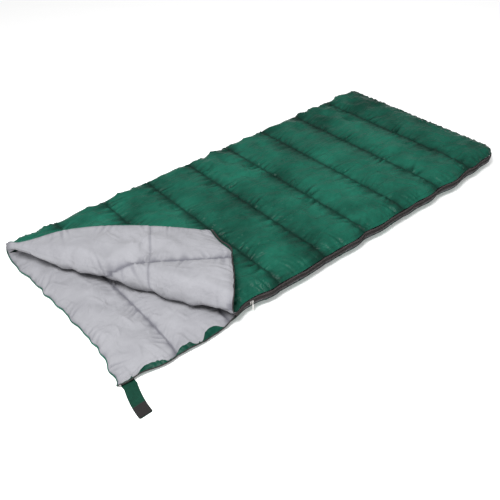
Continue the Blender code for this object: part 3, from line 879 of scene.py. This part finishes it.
def lining_join(sheet):
    """The lengthwise join in the upper lining: a shallow valley beside a low welt."""
    s = sheet[..., 1]
    join = JOIN_PLACE + join_wander(sheet[..., 0])
    depth = 0.0034 * bump(s, join, 0.007) - 0.0012 * bump(s, join + 0.012, 0.006)
    puckered = 1 + 0.35 * ripple(sheet[..., 0], 42, 0.028)
    out = sheet.copy()
    out[..., 2] = np.minimum(out[..., 2] + depth * puckered, -thinnest(sheet[..., 0], s))
    return out


def facing_width(x):
    """How far in from the zip edge the lower lining starts; the shell turns over the edge up to there."""
    inside = 0.002
    for centre, width, depth in ((0.125, 0.042, 0.014), (0.247, 0.032, 0.015), (0.350, 0.034, 0.018)):
        inside = inside + depth * np.exp(-(((x - centre) / width) ** 4))
    return inside


def recessed(sheet):
    """The lower lining, drawn back from the zip edge to where the shell's facing is sewn to it."""
    x, s = sheet[..., 0], sheet[..., 1]
    start = facing_width(x[:, 0])
    share = s / HALF_FLAT
    wanted = start[:, None] + (HALF_FLAT - start[:, None]) * share
    out = sheet.copy()
    for i in range(len(sheet)):
        out[i, :, 2] = np.interp(wanted[i], s[i], sheet[i, :, 2])
    out[..., 1] = wanted
    out[..., 2] -= 0.0012 * np.exp(-(wanted - start[:, None]) / 0.004)
    return out


def facing_strip(sheet, columns=10):
    """The strip of shell between the zip edge and the lining, a little below the lining's edge."""
    x, s = sheet[..., 0], sheet[..., 1]
    reach = facing_width(x[:, 0]) + FACING_OVERLAP
    share = np.linspace(0, 1, columns + 1)
    out = np.zeros((len(sheet), columns + 1, 3))
    for i in range(len(sheet)):
        wanted = reach[i] * share
        out[i, :, 0] = np.interp(wanted, s[i], x[i])
        out[i, :, 1] = wanted
        out[i, :, 2] = np.interp(wanted, s[i], sheet[i, :, 2]) - 0.0016 * smooth(share * reach[i] / 0.004)
    return out


def seam_shade_depth(sheet, width, q=None, seed=0, share=0.9):
    """How much painted shade each point takes, from 0 to 1: in a row of stitching, spread further on the head
    side of it, and in the valleys of the puckers beside it.
    """
    x, s = sheet[..., 0], sheet[..., 1]
    uneven = 1 + 0.40 * ripple(s, 71, 0.045) + 0.40 * ripple(s, 72, 0.15)
    reach = seam_distance(x) / (width * np.clip(uneven, 0.35, 2.2))
    # The head side of each row is the slope that faces the foot, away from the key light, so its painted
    # shade reaches further.
    shade_marks = np.where(seam_share(x) > 0.5, np.exp(-((reach / 2.4) ** 1.4)), np.exp(-reach))
    if q is not None:
        shade_marks = np.maximum(shade_marks, share * np.clip(-pucker(x, q, seed) / PUCKER_HEIGHT, 0, 1))
    return shade_marks


def turned_over(sheet):
    """The quilt laid the other way round, so its lining is its upper face."""
    return sheet[::-1] * [-1, 1, -1] + [LENGTH, 0, 0]


def make_quilts(quilt):
    """Makes the four cloths of the two quilts, and returns where they lie. The lower quilt is the same cloth
    as the upper one, turned over."""
    top, bottom = (softened(sheet) for sheet in quilt)
    fine_top, fine_bottom = refined(top, FINE, FINE_ROWS), refined(bottom, FINE, FINE_ROWS)
    green, pale = taffeta(), brushed_lining()
    upper_q = fine_top[..., 1]
    lower_q = 2 * HALF_FLAT - upper_q
    laid = {}

    shell = dressed(fine_top, 1, upper_q, SHELL_SEED)
    # Painted shade in the shell's rows of stitching and pucker valleys.
    shade_marks = seam_shade_depth(shell, 0.0105, upper_q, SHELL_SEED)
    laid["upper_shell"] = lay_upper(shell, 0.004)
    piece = add_cloth("upper_quilt_shell", laid["upper_shell"], green, shade_marks)
    turns_with_flap(piece, "shell_fabric", "upper_shell", "flap_shell", *fill_nodes("upper", "flap"))

    lining = lining_join(dressed(fine_bottom, -1, upper_q, LINING_SEED))
    # Painted shade in the lining's rows and pucker valleys, and a darker line along its join.
    join = bump(lining[..., 1], JOIN_PLACE + join_wander(lining[..., 0]), 0.004)
    shade_marks = np.maximum(seam_shade_depth(lining, 0.004, upper_q, LINING_SEED, 0.4), 0.6 * join)
    laid["upper_lining"] = lay_upper(lining, 0.001, lining=True)
    piece = add_cloth("upper_quilt_lining", laid["upper_lining"], pale, shade_marks, flip=True)
    turns_with_flap(piece, "lining_fabric", "upper_lining", "flap_lining", "flap_crease_roll")

    lining = dressed(turned_over(fine_bottom), 1, lower_q, LINING_SEED)
    edged = recessed(lining)
    # Painted shade in the lower lining's rows and pucker valleys.
    shade_marks = seam_shade_depth(edged, 0.004, lower_q, LINING_SEED, 0.4)
    laid["lower_lining"] = lay_lower(edged)
    piece = add_cloth("lower_quilt_lining", laid["lower_lining"], pale, shade_marks)
    rides(piece, "bag", "lining_fabric", "lower_lining", "side_fold_lining")

    under = turned_over(refined(top, COARSE, COARSE_ROWS))
    under = dressed(under, -1, 2 * HALF_FLAT - under[..., 1], SHELL_SEED)
    laid["lower_shell"] = lay_lower(under)
    # Painted shade in the rows of the lower shell.
    piece = add_cloth("lower_quilt_shell", laid["lower_shell"], green, seam_shade_depth(under, 0.007), flip=True)
    side = ["side_fold_shell", "side_fold_fill"]
    rides(piece, "bag", "shell_fabric", "lower_shell", *side, *fill_nodes("lower"))

    make_facing(lining, green)
    return laid


def make_facing(lining, material):
    strip = lay_lower(facing_strip(lining))
    # The whole facing strip takes painted shade at 0.6, as it lies a little below the lining's edge.
    piece = add_cloth("lower_edge_facing", strip, material, np.full(strip.shape[:2], 0.6))
    reach = facing_width(lining[:, 0, 0]) + FACING_OVERLAP
    cut = float(((reach[1:] + reach[:-1]) / 2 * np.diff(lining[:, 0, 0])).sum())
    rides(piece, "bag", "shell_fabric")


def outward_normals(laid, flip):
    normals = np.cross(np.gradient(laid, axis=0), np.gradient(laid, axis=1))
    normals /= np.linalg.norm(normals, axis=-1, keepdims=True) + 1e-12
    return -normals if flip else normals


def distance_along(line):
    step = np.linalg.norm(np.diff(line, axis=0), axis=1)
    return np.concatenate([[0], np.cumsum(step)])


def read_at(at, run, values):
    return np.stack([np.interp(at, run, values[:, k]) for k in range(3)], -1)


def stitch_row(line, lift, spacing=0.0046, length=0.0036, radius=0.00045):
    """Corners of a row of stitches along line: each is a thin octahedron, raised along lift."""
    run = distance_along(line)
    at = np.arange(spacing, run[-1] - spacing, spacing)
    place = read_at(at, run, line)
    ahead = read_at(at + 0.001, run, line) - place
    up = read_at(at, run, lift)
    ahead /= np.linalg.norm(ahead, axis=1, keepdims=True) + 1e-12
    side = np.cross(ahead, up)
    place = place + up * radius
    corners = [place - ahead * length / 2, place + ahead * length / 2]
    corners += [place + side * radius, place + up * radius, place - side * radius, place - up * radius]
    return np.stack(corners, 1).reshape(-1, 3)


def stitching(name, rows, material):
    """One object from many rows of stitches."""
    points = np.concatenate(rows)
    start = np.arange(len(points) // 6)[:, None, None] * 6
    around = [(2, 3), (3, 4), (4, 5), (5, 2)]
    faces = np.array([(0, b, a) for a, b in around] + [(1, a, b) for a, b in around])
    return make_object(name, points, (faces[None] + start).reshape(-1, 3).tolist(), material)


def make_stitching(laid):
    """Thread in every row across the quilts and along their hems."""
    green_thread = thread("green_thread", (0.003, 0.030, 0.018), (0.005, 0.048, 0.028))
    grey_thread = thread("grey_thread", (0.25, 0.25, 0.27), (0.42, 0.42, 0.45))
    plans = (
        ("upper_shell", "shell_fabric", green_thread, False),
        ("upper_lining", "lining_fabric", grey_thread, True),
        ("lower_lining", "lining_fabric", grey_thread, False),
        ("lower_shell", "shell_fabric", green_thread, True),
    )
    for key, slot_name, material, flip in plans:
        place, lift = laid[key], outward_normals(laid[key], flip)
        cells = (len(place) - 1) // CHANNELS
        rows = [stitch_row(place[i * cells], lift[i * cells]) for i in range(1, CHANNELS)]
        rows.append(stitch_row(place[:, HEM_STITCH], lift[:, HEM_STITCH]))
        rows += [stitch_row(place[i], lift[i]) for i in (HEM_STITCH, -HEM_STITCH - 1)]
        piece = stitching(f"{key}_stitching", rows, material)
        if key.startswith("upper"):
            turns_with_flap(piece, slot_name)
        else:
            rides(piece, "bag", slot_name)


def cord_sections(line, radius, sides=8):
    """Rings along line, turned as little as possible from one to the next."""
    ahead = np.gradient(line, axis=0)
    ahead /= np.linalg.norm(ahead, axis=1, keepdims=True)
    side = np.cross(ahead[0], [0, 0, 1.0])
    turns = np.linspace(0, 2 * math.pi, sides, endpoint=False)
    rings = []
    for point, direction in zip(line, ahead):
        side = side - direction * (side @ direction)
        side /= np.linalg.norm(side)
        up = np.cross(side, direction)
        rings.append(point + radius * (np.cos(turns)[:, None] * side + np.sin(turns)[:, None] * up))
    return np.array(rings)


def make_head_binding(laid):
    """The narrow shell binding along the head hem: across the lower quilt, round the folded side and along
    the flap."""
    lower, upper = laid["lower_shell"][0], laid["upper_shell"][0][::-1]
    line = np.concatenate([lower, upper[1:]])
    run = distance_along(line)
    line = read_at(np.linspace(0, run[-1], int(run[-1] / 0.006)), run, line)
    for _ in range(3):
        line[1:-1] = (line[:-2] + 2 * line[1:-1] + line[2:]) / 4
    line[:, 2] = np.maximum(line[:, 2] - 0.0012, 0.0030)
    piece = tube_object("head_hem_binding", cord_sections(line, 0.0026), taffeta())
    turns_with_flap(piece, "shell_fabric")


LOOP_PATCH_CELLS = (3, 2)  # of the flap's cloth between the patch and the head hem, and the zip edge


def make_loop_patch(laid):
    """Loop tape on the flap's outer face, sewn on over the shell near its corner."""
    low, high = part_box("hook_patch")
    columns = int(round((high.x - low.x) / (PITCH / FINE)))
    rows = int(round((high.y - low.y) / (HALF_FLAT / FINE_ROWS)))
    part = tuple(slice(first, first + cells + 1) for first, cells in zip(LOOP_PATCH_CELLS, (columns, rows)))
    place = laid["upper_shell"][part]
    lift = outward_normals(laid["upper_shell"], False)[part]
    count, width = place.shape[:2]
    layers = [place + lift * 0.0003, place + lift * 0.0015]
    faces = grid_faces(count, width, flip=True) + grid_faces(count, width, start=count * width)
    rim = [i * width for i in range(count)] + [(count - 1) * width + j for j in range(1, width)]
    rim += [i * width + width - 1 for i in range(count - 2, -1, -1)] + list(range(width - 2, 0, -1))
    for a, b in zip(rim, rim[1:] + rim[:1]):
        faces.append((a, b, b + count * width, a + count * width))
    material = touch_tape("loop_tape", 700, (0.012, 0.011, 0.011), (0.035, 0.032, 0.032))
    piece = make_object("loop_tape_patch", np.concatenate(layers).reshape(-1, 3), faces, material)
    rides(piece, "flap", "hook_and_loop", "loop_patch")


# ---- the zip

TAPE_WIDTH, TAPE_THICKNESS, TAPE_GAP = 0.0115, 0.0009, 0.0003
COIL_SPACING, COIL_RADIUS = 0.00125, 0.0015


def zip_line(start_x, spacing, lower):
    """Points along one side of the zip, from start_x round the foot corner to the zip's end, with their
    outward directions and the heights of the coil there."""
    first, turn, last = CORNER_X - start_x, FOOT_CORNER * math.pi / 2, ZIP_END_Y - CORNER_Y
    d = np.linspace(0, first + turn + last, int((first + turn + last) / spacing) + 1)
    angle = np.clip((d - first) / FOOT_CORNER, 0, math.pi / 2) - math.pi / 2
    outward = np.stack([np.cos(angle), np.sin(angle)], -1)
    along_x = np.where(d < first, start_x + d, CORNER_X)
    along_y = np.where(d > first + turn, CORNER_Y + d - first - turn, CORNER_Y)
    line = np.stack([along_x, along_y], -1) + outward * FOOT_CORNER
    x = line[:, 0]
    shift = edge_sway(x) + (open_sway if lower else flap_sway)(x)
    line = line + np.stack([np.zeros_like(shift), shift * (outward[:, 1] < -0.99)], -1)
    wander = 0.0016 * ripple(x, 60, 0.13, waves=6) * smooth(np.abs(x - SLIDER_X) / 0.06)
    apart = -OPEN_TAPE_DROP * open_share(x) if lower else opening_lift(x)
    return line, outward, ZIP_Z + wander + apart


def make_tape(start_x, lower):
    line, outward, centre = zip_line(start_x, 0.006, lower)
    narrower = 1 - 0.4 * open_share(line[:, 0])
    sign = -1 if lower else 1
    rows = []
    outline = ((0.0009, 0), (0.004, 0), (0.008, 0), (TAPE_WIDTH, -0.0012))
    for offset, side in ((TAPE_GAP, outline[::-1]), (TAPE_GAP + TAPE_THICKNESS, outline)):
        for reach, tuck in side:
            flutter = 0.0007 * ripple(line[:, 0] + line[:, 1], 61, 0.05) * reach / TAPE_WIDTH
            place = line + outward * (offset + tuck + flutter)[:, None]
            height = centre + sign * reach * narrower
            rows.append(np.concatenate([place, height[:, None]], -1))
    sections = np.stack(rows, 1)
    return sections if lower else fold_flap(shape_flap(sections), 0.0)


def make_coil(start_x, lower):
    """A row of zip coil as a ridged cord, on the outside of the tape's edge."""
    line, outward, centre = zip_line(start_x, COIL_SPACING, lower)
    sign = -1 if lower else 1
    turns = np.linspace(0, 2 * math.pi, 6, endpoint=False)
    ridge = COIL_RADIUS * (1 - 0.32 * (np.arange(len(line)) % 2))
    out = 0.0013 + COIL_RADIUS + ridge[:, None] * np.cos(turns)
    up = (centre + sign * 0.0020)[:, None] + ridge[:, None] * np.sin(turns) * 0.9
    place = line[:, None, :] + outward[:, None, :] * out[..., None]
    sections = np.concatenate([place, up[..., None]], -1)
    return sections if lower else fold_flap(shape_flap(sections), 0.0)


def make_stop(name, sections, material):
    """A crimped metal stop round the first few millimetres of a row of coil."""
    centres = sections[:5].mean(axis=1, keepdims=True)
    swell = np.array([0.9, 1.45, 1.5, 1.45, 0.9])[:, None, None]
    return tube_object(name, centres + (sections[:5] - centres) * swell, material)


def make_zip():
    cloth, nylon, metal = zip_tape_cloth(), coil_nylon(), worn_nickel()
    start = HEAD + 0.006
    for side, lower in (("lower", True), ("upper", False)):
        tape = tube_object(f"{side}_tape_cloth", make_tape(start, lower), cloth)
        teeth = make_coil(start + 0.004, lower)
        coil = tube_object(f"{side}_coil_teeth", teeth, nylon)
        stop = make_stop(f"{side}_coil_stop", teeth, metal)
        if lower:
            rides(tape, "bag", "zip_tape", "lower_zip_tape")
            rides(coil, "bag", "zip_coil", "lower_zip_coil")
            rides(stop, "bag", "zip_metal", "lower_zip_stop")
        else:
            turns_with_flap(tape, "zip_tape", "upper_zip_tape", "flap_zip_tape")
            turns_with_flap(coil, "zip_coil", "upper_zip_coil", "flap_zip_coil")
            rides(stop, "flap", "zip_metal", "flap_zip_stop")
    for node in ("slider_body", "slider_bail", "pull_ring", "pull_tab", "zip_end_stop"):
        dress_node(frame["nodes"][node], metal)


def dress_node(node, material):
    """Gives a CAD node its material, and softens its edges."""
    node.data.materials.clear()
    node.data.materials.append(material)
    modifier = node.modifiers.new("soft_edges", "BEVEL")
    modifier.width = 0.0003
    modifier.segments = 2
    modifier.limit_method = "ANGLE"


# ---- the strap

STRAP_ROOT = np.array(JOINTS["strap_lift"]["pos_m"])
STRAP_FOLD = np.array(JOINTS["strap_wrap"]["pos_m"])
STRAP_TIP_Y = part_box("strap_tip")[0].y
STRAP_WIDTH = 0.044
STRAP_REACH = STRAP_ROOT[1] - STRAP_TIP_Y
STRAP_DRIFT = 0.020
STRAP_HIDDEN = 0.022  # of the strap under the quilt
WEBBING_FACES, PATCH_FACES = (-0.0002, 0.0012), (0.0013, 0.0027)  # lower and upper, above the centreline
PATCH_INSET = 0.0012
SEAM_HEIGHT, SEAM_INSET = 0.0028, 0.003


def strap_place(reach):
    """The strap's centreline at a distance out from its root; it goes on a little way under the quilt."""
    share = np.clip(reach / STRAP_REACH, 0, 1)
    x = STRAP_ROOT[0] - STRAP_DRIFT * (1 - (1 - share) ** 2)
    height = 0.0014 + 0.0012 * bump(reach, 0.055, 0.020)
    return np.stack([x, STRAP_ROOT[1] - reach, height * np.ones_like(share)], -1)


def band(start, end, half_width, low, high, corner=0.0):
    """Sections of a flat band that follows the strap; corner rounds its far end."""
    reach = np.linspace(start, end, int((end - start) / 0.0015) + 2)
    centre = strap_place(reach)
    left = np.clip((reach - (end - corner)) / max(corner, 1e-6), 0, 1)
    half = half_width - corner * (1 - np.sqrt(1 - left**2 * 0.98))
    across = np.linspace(-1, 1, 15)
    rounded = np.sqrt(np.clip(1 - across**8, 0, 1)) * 0.5
    middle, depth = (low + high) / 2, high - low
    rows = []
    for sign in (1, -1):
        line = across if sign > 0 else across[::-1]
        z = centre[:, None, 2] + middle + sign * depth * rounded[None, :]
        x = centre[:, None, 0] + half[:, None] * line[None, :]
        y = np.broadcast_to(centre[:, None, 1], x.shape)
        rows.append(np.stack([x, y, z], -1))
    return np.concatenate(rows, 1)


def make_strap():
    cloth = webbing()
    half = STRAP_WIDTH / 2 + 0.001
    fold = STRAP_ROOT[1] - STRAP_FOLD[1]
    split = fold - 0.008
    base = tube_object("strap_webbing_base", band(-STRAP_HIDDEN, split, half, *WEBBING_FACES), cloth)
    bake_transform(base)
    stand_for(base, "strap_webbing", "strap_base")
    tip = tube_object("strap_webbing_tip", band(split, STRAP_REACH, half, *WEBBING_FACES, 0.006), cloth)
    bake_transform(tip)
    stand_for(tip, "strap_webbing", "strap_tip")
    patch_start = STRAP_ROOT[1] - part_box("hook_patch")[1].y
    hooks = touch_tape("hook_tape", 900, (0.012, 0.011, 0.011), (0.030, 0.027, 0.027))
    patch = band(patch_start, STRAP_REACH - PATCH_INSET, half - PATCH_INSET, *PATCH_FACES, 0.005)
    piece = tube_object("hook_tape_patch", patch, hooks)
    rides(piece, "strap_outer", "hook_and_loop", "hook_patch")
    make_strap_stitching(half, patch_start)


def make_strap_stitching(half, patch_start):
    """A seam round the hook patch."""
    ends = (patch_start + SEAM_INSET, STRAP_REACH - PATCH_INSET - SEAM_INSET)
    side = half - PATCH_INSET - SEAM_INSET
    reach = np.linspace(*ends, 24)
    left, right = [-side, 0, SEAM_HEIGHT], [side, 0, SEAM_HEIGHT]
    lines = [strap_place(reach) + shift for shift in (left, right)]
    lines += [strap_place(np.full(24, end)) + np.linspace(left, right, 24) for end in ends]
    dark = thread("black_thread", (0.012, 0.011, 0.011), (0.03, 0.028, 0.028))
    up = np.array([0, 0, 1.0])
    rows = [stitch_row(line, np.tile(up, (len(line), 1)), 0.0030, 0.0024, 0.00035) for line in lines]
    piece = stitching("hook_patch_stitching", rows, dark)
    rides(piece, "strap_outer", "hook_and_loop")


# ---- build the scene


make_camera()
make_studio()
quilt = simulated_quilt()
laid = make_quilts(quilt)
make_stitching(laid)
make_head_binding(laid)
make_loop_patch(laid)
make_zip()
make_strap()
